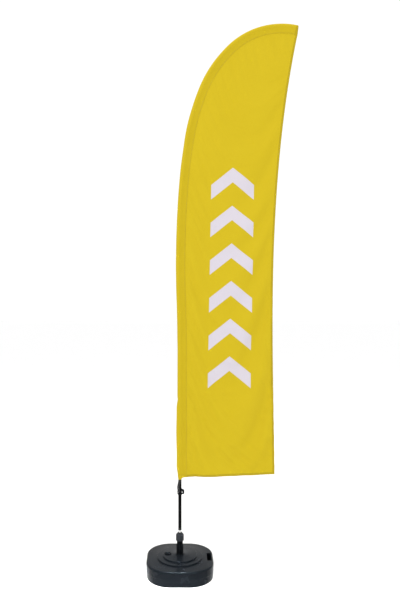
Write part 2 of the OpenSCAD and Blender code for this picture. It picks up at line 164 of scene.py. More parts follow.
def mix_colour(tree, factor, a, b, blend="MIX"):
    node = tree.nodes.new("ShaderNodeMix")
    node.data_type = "RGBA"
    node.blend_type = blend
    put(tree, node.inputs["Factor"], factor)
    put(tree, node.inputs[6], a)
    put(tree, node.inputs[7], b)
    return node.outputs[2]


def bump(tree, shader, height, distance, strength=1.0, under=None):
    node = tree.nodes.new("ShaderNodeBump")
    node.inputs["Strength"].default_value = strength
    node.inputs["Distance"].default_value = distance
    tree.links.new(height, node.inputs["Height"])
    if under is not None:
        tree.links.new(under, node.inputs["Normal"])
    tree.links.new(node.outputs[0], shader.inputs["Normal"])
    return node.outputs[0]


def object_space(tree):
    return tree.nodes.new("ShaderNodeTexCoord").outputs["Object"]


def cloth_space(tree):
    node = tree.nodes.new("ShaderNodeUVMap")
    node.uv_map = "cloth"
    return node.outputs[0]


def wave(tree, value, pitch):
    """A sine from 0 to 1 along a coordinate in metres."""
    angle = math_node(tree, "MULTIPLY", value, TAU / pitch)
    sine = math_node(tree, "SINE", angle)
    return remap(tree, sine, -1, 1)


# ---- Materials ----

YELLOW = (0.566, 0.424, 0.0138, 1)
# The sleeve's darker yellow is painted shade: the doubled cloth around the pole, given as colour
YELLOW_PAINTED_SHADE = (0.548, 0.408, 0.0130, 1)
PRINT_WHITE = (0.600, 0.560, 0.620, 1)


def chevron_mask(tree, space):
    """Six plain upward chevrons up the middle of the flag, 1 inside their strokes."""
    number, first_z, pitch, stroke = 6, 1.135, 0.213, 0.082
    half_width, slope = 0.1215, 0.80
    centre_x, drift = 0.2805, 0.0172
    soft = 0.0012
    x, z, _ = split(tree, space)
    rise = math_node(tree, "SUBTRACT", z, first_z)
    centre = math_node(tree, "ADD", math_node(tree, "MULTIPLY", rise, drift), centre_x)
    side = math_node(tree, "ABSOLUTE", math_node(tree, "SUBTRACT", x, centre))
    level = math_node(tree, "ADD", rise, math_node(tree, "MULTIPLY", side, slope))
    in_cell = math_node(tree, "FLOORED_MODULO", level, pitch)
    lower = remap(tree, in_cell, 0, soft)
    upper = remap(tree, in_cell, stroke, stroke + soft, 1, 0)
    flank = remap(tree, side, half_width - soft, half_width, 1, 0)
    from_first = remap(tree, level, -soft, 0)
    to_last = remap(tree, level, number * pitch - soft, number * pitch, 1, 0)
    mask = lower
    for part in (upper, flank, from_first, to_last):
        mask = math_node(tree, "MULTIPLY", mask, part)
    return mask


def cloth(name, light, dark, printed=False):
    """Warp-knit polyester: fine knit rows, a soft sheen and slightly uneven dye."""
    material, tree, shader = principled(name, Sheen_Weight=0.03, Sheen_Roughness=0.45,
                                        Specular_IOR_Level=0.08)
    space = cloth_space(tree)
    u, v, _ = split(tree, space)
    loops = wave(tree, u, 1.1 * MM)
    rows = wave(tree, v, 0.85 * MM)
    knit = math_node(tree, "MULTIPLY", loops, rows)
    dye = noise_node(tree, space, 5.5, 4, 0.6)
    slub = noise_node(tree, stretched(tree, space, (900, 26, 1)), 1, 2, 0.6)
    colour = mix_colour(tree, remap(tree, dye, 0.3, 0.7), dark, light)
    if printed:
        colour = mix_colour(tree, chevron_mask(tree, space), colour, PRINT_WHITE)
    shade = remap(tree, math_node(tree, "ADD", knit, slub), 0, 2, 0.90, 1.06)
    tinted = mix_colour(tree, 1.0, colour, shade, "MULTIPLY")
    tree.links.new(tinted, shader.inputs["Base Color"])
    tree.links.new(remap(tree, slub, 0.2, 0.8, 0.70, 0.86), shader.inputs["Roughness"])
    crease = bump(tree, shader, noise_node(tree, space, 38, 3, 0.55), 0.9 * MM, 0.35)
    bump(tree, shader, math_node(tree, "ADD", knit, math_node(tree, "MULTIPLY", slub, 0.5)),
         0.12 * MM, 0.5, crease)
    return material


def thread(name, colour):
    """Twisted sewing thread."""
    material, tree, shader = principled(name, Sheen_Weight=0.2)
    space = object_space(tree)
    x, _, z = split(tree, space)
    twist = wave(tree, math_node(tree, "ADD", x, z), 0.45 * MM)
    fuzz = noise_node(tree, space, 1500, 2)
    tree.links.new(mix_colour(tree, twist, [0.78 * c for c in colour[:3]] + [1], colour),
                   shader.inputs["Base Color"])
    tree.links.new(remap(tree, fuzz, 0.2, 0.8, 0.5, 0.75), shader.inputs["Roughness"])
    bump(tree, shader, math_node(tree, "ADD", twist, fuzz), 0.05 * MM, 0.6)
    return material


def moulded(name, dark, light, rough, grain=0.04, scuffs=0.10, ior=1.185):
    """Moulded plastic: fine grain, slow waviness, a few paler scuffs and uneven gloss, with a
    bluish painted reflection.
    """
    # The bluish Specular_Tint paints a cool reflection into the plastic under white lamps
    material, tree, shader = principled(name, IOR=ior, Specular_Tint=(0.66, 0.82, 1.0, 1))
    space = object_space(tree)
    broad = noise_node(tree, space, 16, 4, 0.55)
    fine = noise_node(tree, space, 1150, 2, 0.6)
    scratch = noise_node(tree, stretched(tree, space, (60, 700, 90)), 1, 3, 0.7)
    worn = remap(tree, math_node(tree, "MULTIPLY", scratch, broad), 0.36, 0.46, 0, scuffs)
    body = mix_colour(tree, remap(tree, broad, 0.3, 0.7), dark, light)
    pale = [min(1, 0.09 + 2.2 * c) for c in light[:3]] + [1]
    tree.links.new(mix_colour(tree, worn, body, pale), shader.inputs["Base Color"])
    gloss = math_node(tree, "ADD", remap(tree, broad, 0.25, 0.75, rough - 0.05, rough + 0.06),
                      math_node(tree, "MULTIPLY", worn, 0.9), clamp=True)
    tree.links.new(gloss, shader.inputs["Roughness"])
    slow = bump(tree, shader, noise_node(tree, space, 9, 2), 0.25 * MM, 0.5)
    bump(tree, shader, fine, grain * MM, 0.5, slow)
    return material


def metal(name, colour, rough):
    """Turned or drawn metal: fine rings round its axis and faint handling marks."""
    material, tree, shader = principled(name, Metallic=1.0)
    space = object_space(tree)
    rings = noise_node(tree, stretched(tree, space, (30, 30, 5200)), 1, 2, 0.6)
    marks = noise_node(tree, space, 75, 4, 0.6)
    dull = [0.82 * c for c in colour[:3]] + [1]
    tree.links.new(mix_colour(tree, remap(tree, marks, 0.35, 0.7), colour, dull),
                   shader.inputs["Base Color"])
    tree.links.new(remap(tree, marks, 0.25, 0.75, rough * 0.75, rough * 1.5),
                   shader.inputs["Roughness"])
    bump(tree, shader, rings, 0.02 * MM, 0.5)
    return material


def wound_tube(name, dark, light, rough):
    """Lacquered wound glass fibre: a faint helical wrap, satin rather than glossy."""
    wrap_pitch = 9 * MM
    material, tree, shader = principled(name, IOR=1.12)
    space = object_space(tree)
    x, y, z = split(tree, space)
    angle = math_node(tree, "ARCTAN2", y, x)
    helix = math_node(tree, "ADD", math_node(tree, "MULTIPLY", z, 1 / wrap_pitch),
                      math_node(tree, "MULTIPLY", angle, 1 / TAU))
    wrap = remap(tree, math_node(tree, "SINE", math_node(tree, "MULTIPLY", helix, TAU)), -1, 1)
    smear = noise_node(tree, stretched(tree, space, (220, 220, 14)), 1, 3, 0.6)
    tree.links.new(mix_colour(tree, math_node(tree, "MULTIPLY", wrap, smear), dark, light),
                   shader.inputs["Base Color"])
    tree.links.new(remap(tree, smear, 0.2, 0.8, rough * 0.8, rough * 1.3),
                   shader.inputs["Roughness"])
    bump(tree, shader, wrap, 0.05 * MM, 0.4)
    return material


def rubber(name, colour):
    """Dusty rubber with a fine grain."""
    material, tree, shader = principled(name, Specular_IOR_Level=0.3)
    space = object_space(tree)
    dust = noise_node(tree, space, 120, 4, 0.65)
    grain = noise_node(tree, space, 2100, 2)
    pale = [0.02 + 1.6 * c for c in colour[:3]] + [1]
    tree.links.new(mix_colour(tree, remap(tree, dust, 0.45, 0.75), colour, pale),
                   shader.inputs["Base Color"])
    tree.links.new(remap(tree, dust, 0.2, 0.8, 0.55, 0.8), shader.inputs["Roughness"])
    bump(tree, shader, grain, 0.06 * MM, 0.6)
    return material


def webbing(name, dark, light):
    """Woven strap: ribs across, a fine twill along, in black nylon."""
    material, tree, shader = principled(name, Sheen_Weight=0.35, Sheen_Roughness=0.5,
                                        Specular_IOR_Level=0.3)
    space = cloth_space(tree)
    u, v, _ = split(tree, space)
    ribs = wave(tree, v, 1.3 * MM)
    twill = wave(tree, math_node(tree, "ADD", u, math_node(tree, "MULTIPLY", v, 0.5)), 0.8 * MM)
    woven = math_node(tree, "MULTIPLY", ribs, twill)
    fuzz = noise_node(tree, space, 900, 3, 0.6)
    tree.links.new(mix_colour(tree, woven, dark, light), shader.inputs["Base Color"])
    tree.links.new(remap(tree, fuzz, 0.2, 0.8, 0.55, 0.8), shader.inputs["Roughness"])
    bump(tree, shader, math_node(tree, "ADD", woven, math_node(tree, "MULTIPLY", fuzz, 0.3)),
         0.25 * MM, 0.7)
    return material


def water(name):
    material, tree, shader = principled(name, Transmission_Weight=1.0, IOR=1.333, Roughness=0.02)
    space = object_space(tree)
    murk = noise_node(tree, space, 22, 3)
    tree.links.new(mix_colour(tree, murk, (0.78, 0.88, 0.92, 1), (0.88, 0.95, 0.97, 1)),
                   shader.inputs["Base Color"])
    bump(tree, shader, noise_node(tree, space, 40, 2), 0.3 * MM, 0.3)
    return material


def pale_floor(name):
    material, tree, shader = principled(name, Specular_IOR_Level=0.15)
    space = object_space(tree)
    tone = noise_node(tree, space, 1.4, 3)
    tree.links.new(mix_colour(tree, tone, (0.93, 0.93, 0.93, 1), (0.95, 0.95, 0.95, 1)),
                   shader.inputs["Base Color"])
    tree.links.new(remap(tree, tone, 0.2, 0.8, 0.75, 0.85), shader.inputs["Roughness"])
    return material


flag_cloth = cloth("flag_knit", YELLOW, (0.550, 0.410, 0.0125, 1), printed=True)
# Sleeve and foot tab: the flag's knit in a darker copy, painted shade of the doubled cloth
sleeve_cloth_painted_shade = cloth("sleeve_knit_painted_shade", YELLOW_PAINTED_SHADE, (0.524, 0.388, 0.0118, 1))
# Hems and tip patch: the flag's knit in a darker copy, painted shade of the folded, doubled cloth
hem_cloth_painted_shade = cloth("hem_knit_painted_shade", (0.445, 0.332, 0.0135, 1), (0.415, 0.306, 0.0120, 1))
yellow_thread = thread("yellow_thread", (0.42, 0.31, 0.015, 1))
black_thread = thread("black_thread", (0.03, 0.03, 0.032, 1))
tank_plastic = moulded("tank_plastic", (0.0034, 0.0044, 0.0056, 1), (0.0050, 0.0062, 0.0078, 1),
                       0.24, scuffs=0.012, ior=1.16)
tube_plastic = moulded("tube_plastic", (0.0022, 0.0026, 0.0032, 1), (0.0036, 0.0042, 0.0050, 1),
                       0.40, ior=1.12)
nut_plastic = moulded("nut_plastic", (0.020, 0.021, 0.024, 1), (0.029, 0.030, 0.034, 1), 0.42,
                      grain=0.07)
collet_plastic = moulded("collet_plastic", (0.010, 0.010, 0.011, 1), (0.016, 0.016, 0.018, 1), 0.4)
slip_plastic = moulded("slip_plastic", (0.62, 0.61, 0.57, 1), (0.70, 0.69, 0.65, 1), 0.4,
                       scuffs=0.0)
hook_plastic = moulded("hook_plastic", (0.006, 0.006, 0.007, 1), (0.010, 0.010, 0.011, 1), 0.34)
steel = metal("turned_steel", (0.80, 0.80, 0.81, 1), 0.20)
aluminium = metal("aluminium", (0.52, 0.53, 0.55, 1), 0.34)
pole_black = wound_tube("pole_lacquer", (0.0024, 0.0024, 0.0026, 1),
                        (0.0050, 0.0050, 0.0055, 1), 0.42)
pole_fibre = wound_tube("pole_fibre", (0.005, 0.005, 0.006, 1), (0.014, 0.014, 0.015, 1), 0.34)
black_rubber = rubber("black_rubber", (0.010, 0.010, 0.010, 1))
strap_nylon = webbing("strap_nylon", (0.006, 0.006, 0.007, 1), (0.030, 0.030, 0.032, 1))
tank_water = water("tank_water")


# ---- Mesh helpers ----

def make_object(name, points, faces, material, uv=None, smooth_angle=None):
    """A mesh object; uv is one pair for each point."""
    mesh = bpy.data.meshes.new(name)
    mesh.from_pydata([tuple(p) for p in points], [], faces)
    if uv is not None:
        corners = np.zeros(len(mesh.loops), np.int32)
        mesh.loops.foreach_get("vertex_index", corners)
        layer = mesh.uv_layers.new(name="cloth")
        layer.data.foreach_set("uv", np.asarray(uv, np.float32)[corners].ravel())
    obj = bpy.data.objects.new(name, mesh)
    scene.collection.objects.link(obj)
    mesh.materials.append(material)
    face_outwards(mesh)
    soften(obj, smooth_angle)
    return obj


def face_outwards(mesh):
    work = bmesh.new()
    work.from_mesh(mesh)
    bmesh.ops.recalc_face_normals(work, faces=work.faces)
    work.to_mesh(mesh)
    work.free()


def soften(obj, angle=None):
    """Smooth shading; edges sharper than the angle, in degrees, stay crisp."""
    obj.data.shade_smooth()
    if angle is not None:
        obj.data.set_sharp_from_angle(angle=math.radians(angle))


def apply_modifiers(obj):
    graph = bpy.context.evaluated_depsgraph_get()
    done = bpy.data.meshes.new_from_object(obj.evaluated_get(graph))
    obj.modifiers.clear()
    old, obj.data = obj.data, done
    done.name = obj.name
    bpy.data.meshes.remove(old)


def cut(obj, *cutters):
    """Subtract closed meshes, which are then removed."""
    for cutter in cutters:
        step = obj.modifiers.new("cut", "BOOLEAN")
        step.operation = "DIFFERENCE"
        step.solver = "EXACT"
        step.object = cutter
    apply_modifiers(obj)
    for cutter in cutters:
        bpy.data.objects.remove(cutter)


def ring_faces(rings, around, closed=True):
    """The quads between rings of points, numbered ring by ring."""
    last = around if closed else around - 1
    return [(k * around + j, k * around + (j + 1) % around,
             (k + 1) * around + (j + 1) % around, (k + 1) * around + j)
            for k in range(rings - 1) for j in range(last)]


def capped_faces(rings, around):
    last = (rings - 1) * around
    return ring_faces(rings, around) + [tuple(range(around)),
                                        tuple(last + j for j in reversed(range(around)))]


def lofted(name, rings, material, uv=None, smooth_angle=None):
    """Closed rings of equal length joined in order and capped at both ends."""
    rings = np.asarray(rings, float)
    return make_object(name, rings.reshape(-1, 3), capped_faces(*rings.shape[:2]), material, uv,
                       smooth_angle)


def normals_of(grid):
    """Unit normals of a grid of points, by the cross product of its two directions."""
    along = np.gradient(grid, axis=0)
    across = np.gradient(grid, axis=1)
    normal = np.cross(along, across)
    return normal / np.maximum(np.linalg.norm(normal, axis=2, keepdims=True), 1e-12)


def solid_sheet(name, grid, thickness, uv, material):
    """A grid of points made into cloth of that thickness, closed along its edges."""
    rows, cols = grid.shape[:2]
    offset = normals_of(grid) * thickness / 2
    points = np.concatenate([(grid + offset).reshape(-1, 3), (grid - offset).reshape(-1, 3)])
    base = rows * cols
    front = ring_faces(rows, cols, closed=False)
    back = [tuple(base + i for i in reversed(face)) for face in front]
    rim = ([k * cols for k in range(rows)]
           + [(rows - 1) * cols + j for j in range(1, cols)]
           + [k * cols + cols - 1 for k in range(rows - 2, -1, -1)]
           + [j for j in range(cols - 2, 0, -1)])
    walls = [(rim[i - 1], rim[i], base + rim[i], base + rim[i - 1]) for i in range(len(rim))]
    both = np.concatenate([uv.reshape(-1, 2), uv.reshape(-1, 2)])
    return make_object(name, points, front + back + walls, material, both)


def run_along(line):
    """The length along a line of points up to each of them."""
    return np.concatenate([[0], np.cumsum(np.linalg.norm(np.diff(line, axis=0), axis=1))])


def refine(grid, axis):
    """Twice the rows or columns, the new ones on a smooth curve through the old."""
    grid = np.moveaxis(grid, axis, 0)
    padded = np.concatenate([2 * grid[:1] - grid[1:2], grid, 2 * grid[-1:] - grid[-2:-1]])
    middle = (9 * (padded[1:-2] + padded[2:-1]) - padded[:-3] - padded[3:]) / 16
    out = np.empty((2 * len(grid) - 1,) + grid.shape[1:])
    out[0::2] = grid
    out[1::2] = middle
    return np.moveaxis(out, 0, axis)


def bell(x, centre, width):
    """1 at the centre, falling smoothly to 0 a few widths away."""
    return np.exp(-((x - centre) / width) ** 2)


def ramp(x, low, high):
    """A smooth step from 0 at low to 1 at high."""
    t = np.clip((x - low) / (high - low), 0, 1)
    return t * t * (3 - 2 * t)


# ---- The pole's centre line, as in the CAD ----

POLE_FOOT_Z = 237 * MM
# Length in mm and turn in degrees of each stretch
BENDS = [(1000, 0), (300, 2), (600, -6), (300, -5), (300, -13), (300, -25), (406, -55.5)]
POLE_END = sum(length for length, _ in BENDS) * MM


def pole_frame(s):
    """Point (x, z) and heading, in radians, at arc length s along the pole."""
    x, z, heading, start = 0.0, POLE_FOOT_Z, math.radians(90), 0.0
    for index, (length, turn) in enumerate(BENDS):
        length, turn = length * MM, math.radians(turn)
        run = s - start
        done = run <= length or index == len(BENDS) - 1
        run_here = run if done else length
        angle = turn * run_here / length
        chord = run_here if turn == 0 else 2 * length / turn * math.sin(angle / 2)
        x += chord * math.cos(heading + angle / 2)
        z += chord * math.sin(heading + angle / 2)
        heading += angle
        start += length
        if done:
            break
    return x, z, heading


def off_pole(s, off):
    """(x, z) at a distance off from the pole's centre line, towards the flag."""
    x, z, heading = pole_frame(s)
    return x + off * math.sin(heading), z - off * math.cos(heading)


# ---- Base ----

HALF_SIDE = 187 * MM
CORNER = 136 * MM
RIM_Z = 84 * MM
# The round steps and the collar on the top, each as (radius, height)
STEPS = ((128 * MM, 92 * MM), (97 * MM, 100 * MM))
COLLAR = (26 * MM, 105 * MM)
EDGE_ROUND = 10 * MM
WALL = 3 * MM
SOCKET_R = 19.6 * MM
SOCKET_FLOOR = 18 * MM
SLOT_NEAR, SLOT_FAR = 152.5 * MM, 177.5 * MM
SLOT_HALF = 47 * MM


def plan_points():
    """Directions round the rounded square: (corner centre, unit direction) for each point."""
    arc, edge = 28, 10
    half_straight = HALF_SIDE - CORNER

    def corner_centre(turn):
        middle = turn + math.pi / 4
        return [math.copysign(half_straight, s) for s in (math.cos(middle), math.sin(middle))]

    out = []
    for quarter in range(4):
        turn = quarter * math.pi / 2
        start, end = corner_centre(turn), corner_centre(turn + math.pi / 2)
        for k in range(arc + 1):
            a = turn + math.pi / 2 * k / arc
            out.append((start, (math.cos(a), math.sin(a))))
        outward = out[-1][1]
        for k in range(1, edge):
            centre = [start[i] + (end[i] - start[i]) * k / edge for i in (0, 1)]
            out.append((centre, outward))
    return out


PLAN = plan_points()


def square_ring(inset, z):
    """The rounded square's outline drawn in by an inset."""
    r = CORNER - inset
    return [(c[0] + r * d[0], c[1] + r * d[1], z) for c, d in PLAN]


def circle_ring(r, z):
    """A circle with its points in the same directions as the square's."""
    angles = [math.atan2(c[1] + CORNER * d[1], c[0] + CORNER * d[0]) for c, d in PLAN]
    return [(r * math.cos(a), r * math.sin(a), z) for a in angles]


def tank_rings(shrink, parting):
    """The tank's outline from its underside up to its middle.

    shrink makes the inside; parting adds the mould's parting line and the collar.
    """
    foot_round, step_round, steps = 4 * MM, 2.4 * MM, 8
    lean = 3 * MM
    shoulder = RIM_Z - EDGE_ROUND
    rings = []
    for k in range(5):
        a = math.pi / 2 * k / 4
        rings.append(square_ring(shrink + lean + foot_round * (1 - math.sin(a)),
                                 shrink + foot_round * (1 - math.cos(a))))
    seam_z = 0.5 * RIM_Z
    if parting:
        for z in (6 * MM, seam_z - 4 * MM):
            rings.append(square_ring(lean * (1 - z / shoulder), z))
        for dz, out in ((-0.9, 0), (-0.4, 0.25), (0, 0.4), (0.4, 0.25), (0.9, 0)):
            z = seam_z + dz * MM
            rings.append(square_ring(lean * (1 - z / shoulder) - out * MM, z))
        for z in (seam_z + 4 * MM, shoulder - 2 * MM):
            rings.append(square_ring(lean * (1 - z / shoulder), z))
    radius = EDGE_ROUND - shrink
    for k in range(steps + 1):
        a = math.pi / 2 * k / steps
        rings.append(square_ring(shrink + radius * (1 - math.cos(a)),
                                 shoulder + radius * math.sin(a)))
    below = RIM_Z - shrink
    for r, top in STEPS:
        r, top = r - shrink, top - shrink
        rings += [circle_ring(r + 1.6 * MM, below), circle_ring(r + 0.5 * MM, below + 0.3 * MM),
                  circle_ring(r, below + 1.4 * MM)]
        for k in range(6):
            a = math.pi / 2 * k / 5
            rings.append(circle_ring(r - step_round * (1 - math.cos(a)),
                                     top - step_round * (1 - math.sin(a))))
        below = top
    if parting:
        r, top = COLLAR
        rings += [circle_ring(r + 1.4 * MM, below), circle_ring(r + 0.3 * MM, below + 0.4 * MM),
                  circle_ring(r, below + 1.4 * MM), circle_ring(r, top - 1.5 * MM),
                  circle_ring(r - 0.5 * MM, top - 0.4 * MM), circle_ring(r - 1.6 * MM, top)]
    rings.append(circle_ring(15 * MM, rings[-1][0][2]))
    return rings


def upright_prism(name, outline, low, high):
    rings = [[(x, y, z) for x, y in outline] for z in (low, high)]
    return lofted(name, rings, tank_plastic)


def round_plan(centre, r):
    count = 64
    return [(centre[0] + r * math.cos(TAU * k / count), centre[1] + r * math.sin(TAU * k / count))
            for k in range(count)]


def slot_plan(grow):
    """The carrying slot's plan with rounded corners."""
    low, high = SLOT_NEAR - grow, SLOT_FAR + grow
    half, r = SLOT_HALF + grow, 5 * MM
    out = []
    for cx, cy, turn in ((high - r, half - r, 0), (low + r, half - r, 1),
                         (low + r, r - half, 2), (high - r, r - half, 3)):
        for k in range(7):
            a = math.pi / 2 * (turn + k / 6)
            out.append((cx + r * math.cos(a), cy + r * math.sin(a)))
    return out


def make_tank():
    skin = lofted("tank_skin", tank_rings(0, True), tank_plastic)
    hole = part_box("filler_cap")
    filler = ((hole[0].x + hole[1].x) / 2, (hole[0].y + hole[1].y) / 2)
    top = STEPS[-1][1]
    post_r = SOCKET_R + 3.4 * MM
    neck_r, neck_bore, neck_depth = 16 * MM, 13 * MM, 16 * MM
    below, above = -0.01, 0.2
    cavity = lofted("cavity", tank_rings(WALL, False), tank_plastic)
    cut(cavity,
        upright_prism("socket_post", round_plan((0, 0), post_r), 0, above),
        upright_prism("filler_neck", round_plan(filler, neck_r), top - neck_depth, above),
        upright_prism("slot_walls", slot_plan(WALL), 0, above))
    cut(skin, cavity,
        upright_prism("slot_hole", slot_plan(0), below, above),
        upright_prism("socket_hole", round_plan((0, 0), SOCKET_R), SOCKET_FLOOR, above),
        upright_prism("filler_hole", round_plan(filler, neck_bore), top - 17 * MM, above))
    round_slot_lip(skin)
    soften(skin, 38)
    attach(skin, "stand")
    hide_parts("base_tank")


def round_slot_lip(skin):
    """A small rounding where the slot breaks the top, as moulded plastic has."""
    work = bmesh.new()
    work.from_mesh(skin.data)
    near, lip_above = 0.2 * MM, 60 * MM
    lip = []
    for edge in work.edges:
        if len(edge.link_faces) != 2 or edge.calc_face_angle(0) < 0.6:
            continue
        inside = all(SLOT_NEAR - near < v.co.x < SLOT_FAR + near
                     and abs(v.co.y) < SLOT_HALF + near and v.co.z > lip_above
                     for v in edge.verts)
        if inside:
            lip.append(edge)
    bmesh.ops.bevel(work, geom=lip, offset=1.3 * MM, segments=3, profile=0.5, affect="EDGES",
                    clamp_overlap=True)
    work.to_mesh(skin.data)
    work.free()


# ---- Hard pieces that keep their CAD shape, with moulded edges ----

def rounded_copy(node, name, material, width, body):
    """The CAD piece with its sharp edges broken, as moulding or turning leaves them."""
    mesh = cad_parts[node].data.copy()
    obj = bpy.data.objects.new(name, mesh)
    scene.collection.objects.link(obj)
    mesh.materials.clear()
    mesh.materials.append(material)
    work = bmesh.new()
    work.from_mesh(mesh)
    bmesh.ops.remove_doubles(work, verts=work.verts, dist=1e-6)
    bmesh.ops.dissolve_limit(work, angle_limit=math.radians(0.6), verts=work.verts,
                             edges=work.edges)
    sharp = [e for e in work.edges
             if len(e.link_faces) == 2 and e.calc_face_angle(0) > math.radians(32)]
    bmesh.ops.bevel(work, geom=sharp, offset=width, segments=2, profile=0.6, affect="EDGES",
                    clamp_overlap=True)
    work.to_mesh(mesh)
    work.free()
    soften(obj, 40)
    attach(obj, body)
    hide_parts(node)


def finish_cad(node, material):
    """A CAD piece that stays as it is gets its material and smooth shading."""
    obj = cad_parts[node]
    obj.data.materials.clear()
    obj.data.materials.append(material)
    for face in obj.data.polygons:
        face.material_index = 0
    soften(obj, 35)


# ---- Flag ----

SLEEVE_START = 297 * MM
SLEEVE_END = POLE_END - 3 * MM
SEAM_OFF = 39 * MM
HEM = 12 * MM
FREE_CORNER = (536 * MM, 550 * MM)
LOWER_EDGE_Z = 532 * MM
CLOTH_T = 0.45 * MM
# Where the panel's first and last rows meet the free edge's curve
EDGE_SHARES = (0.007, 0.981)

tip = off_pole(POLE_END, -14 * MM)
FREE_EDGE = np.array([FREE_CORNER, (0.534, 1.124), (0.471, 2.169),
                      (tip[0] + 8 * MM, tip[1] - 2 * MM)])


def free_edge(t):
    """(x, z) on the free edge's cubic curve, from its lower corner up to the tip."""
    weights = ((1 - t) ** 3, 3 * t * (1 - t) ** 2, 3 * t * t * (1 - t), t ** 3)
    return sum(w * p for w, p in zip(weights, FREE_EDGE))


PANEL_ROWS = 216
PANEL_COLS = 40
START_WAVES = 1.6 * MM
SIDEWAYS_LIMIT = 1.2 * MM
BILLOW_LIMIT = 16 * MM


def flat_sheet():
    """The whole flat flag as rows of (x, z) from the seam to the free edge.

    Columns: one inside the seam, PANEL_COLS + 1 over the panel, two in the free hem.
    Rows: two in the lower hem, then the rest up to the tip.
    """
    start, end = SLEEVE_START + HEM + 1 * MM, POLE_END - HEM + 1 * MM
    rows = []
    for k in range(PANEL_ROWS + 1):
        t = k / PANEL_ROWS
        s = start + (end - start) * t
        inside = np.array(off_pole(s, SEAM_OFF - 5 * MM))
        seam = np.array(off_pole(s, SEAM_OFF))
        outer = free_edge(EDGE_SHARES[0] + (EDGE_SHARES[1] - EDGE_SHARES[0]) * t)
        reach = outer - seam
        width = min(HEM, 0.45 * np.linalg.norm(reach))
        inner = outer - np.array([width, 0])
        fill = [seam + (inner - seam) * j / PANEL_COLS for j in range(PANEL_COLS + 1)]
        rows.append([inside] + fill + [outer - np.array([width / 2, 0]), outer])
    first = rows[0]
    lowest = []
    for x, z in first:
        edge_z = LOWER_EDGE_Z + (FREE_CORNER[1] - LOWER_EDGE_Z) * x / FREE_CORNER[0]
        lowest.append(np.array([x, edge_z]))
    middle = [(a + b) / 2 for a, b in zip(first, lowest)]
    return np.array([lowest, middle] + rows)


def add_cloth(obj, index, frames):
    """Cloth held along the seam and at the tip; index numbers its points by row and column."""
    held = obj.vertex_groups.new(name="held")
    held.add(index[:, :2].ravel().tolist(), 1.0, "REPLACE")
    held.add(index[-4:, :].ravel().tolist(), 1.0, "REPLACE")
    drawn_in = obj.vertex_groups.new(name="drawn_in")
    drawn_in.add(index.ravel().tolist(), 0.0, "REPLACE")
    drawn_in.add(index[:, -3:].ravel().tolist(), 1.0, "REPLACE")
    drawn_in.add(index[:3, :].ravel().tolist(), 1.0, "REPLACE")
    hang = obj.modifiers.new("hang", "CLOTH")
    cloth_set = hang.settings
    cloth_set.quality = 7
    cloth_set.mass = 0.12
    cloth_set.tension_stiffness = cloth_set.compression_stiffness = 40
    cloth_set.shear_stiffness = 12
    cloth_set.bending_stiffness = 0.08
    cloth_set.air_damping = 3
    cloth_set.vertex_group_mass = "held"
    cloth_set.vertex_group_shrink = "drawn_in"
    cloth_set.shrink_min = -0.006
    cloth_set.shrink_max = 0.004
    cloth_set.effector_weights.gravity = 0.25
    hang.collision_settings.use_collision = False
    hang.point_cache.frame_start = 1
    hang.point_cache.frame_end = frames


def settle(flat):
    """Hang the flat sheet from its seam, with its hems drawn in so that the cloth puckers."""
    rows, cols = flat.shape[:2]
    start = np.zeros((rows, cols, 3))
    start[..., 0], start[..., 2] = flat[..., 0], flat[..., 1]
    for k in range(rows):
        for j in range(2, cols):
            x, z = flat[k, j]
            start[k, j, 1] = START_WAVES * noise.noise(Vector((x * 7, 3.1, z * 4)))
    faces = ring_faces(rows, cols, closed=False)
    mesh = bpy.data.meshes.new("settling")
    mesh.from_pydata(start.reshape(-1, 3).tolist(), [], faces)
    obj = bpy.data.objects.new("settling", mesh)
    scene.collection.objects.link(obj)
    frames = 32
    add_cloth(obj, np.arange(rows * cols).reshape(rows, cols), frames)
    for step in range(1, frames + 1):
        scene.frame_set(step)
    graph = bpy.context.evaluated_depsgraph_get()
    hung = obj.evaluated_get(graph).to_mesh()
    moved = np.zeros(rows * cols * 3, np.float32)
    hung.vertices.foreach_get("co", moved)
    obj.evaluated_get(graph).to_mesh_clear()
    bpy.data.objects.remove(obj)
    scene.frame_set(1)
    moved = moved.reshape(rows, cols, 3).astype(float)
    flat_3d = start.copy()
    flat_3d[..., 1] = 0
    shift = moved - flat_3d
    for axis in (0, 2):
        shift[..., axis] = np.clip(shift[..., axis] * 0.3, -SIDEWAYS_LIMIT, SIDEWAYS_LIMIT)
    shift[..., 1] = np.clip(shift[..., 1], -BILLOW_LIMIT, BILLOW_LIMIT)
    return flat_3d + shift


def add_folds(sheet, flat):
    """The creases it hangs in: gathers by the sleeve and drag lines to the free corner."""
    x, z = flat[..., 0], flat[..., 1]
    from_seam = x - SEAM_OFF
    gather = bell(z, 0.80, 0.13) * bell(from_seam, 0.018, 0.022) * ramp(from_seam, 0, 0.006)
    fold = 2.6 * MM * gather * np.sin(TAU * (from_seam + 0.11 * (z - 0.8)) / 0.019)
    drag_along = (x - 0.30) * 0.79 - (z - 0.66) * 0.62
    drag_across = (x - 0.30) * 0.62 + (z - 0.66) * 0.79
    drag = bell(drag_along, 0.04, 0.15) * bell(drag_across, 0, 0.11)
    fold += 4.2 * MM * drag * np.sin(TAU * drag_across / 0.072)
    level = bell(z, 1.0, 0.05) * bell(x, 0.22, 0.13)
    fold += 1.8 * MM * level * np.sin(TAU * z / 0.034)
    edge = bell(x, 0.525, 0.05) * bell(z, 0.85, 0.35)
    fold += 3.0 * MM * edge * np.sin(TAU * (z + 0.25 * x) / 0.083)
    sheet[..., 1] += fold
    return sheet


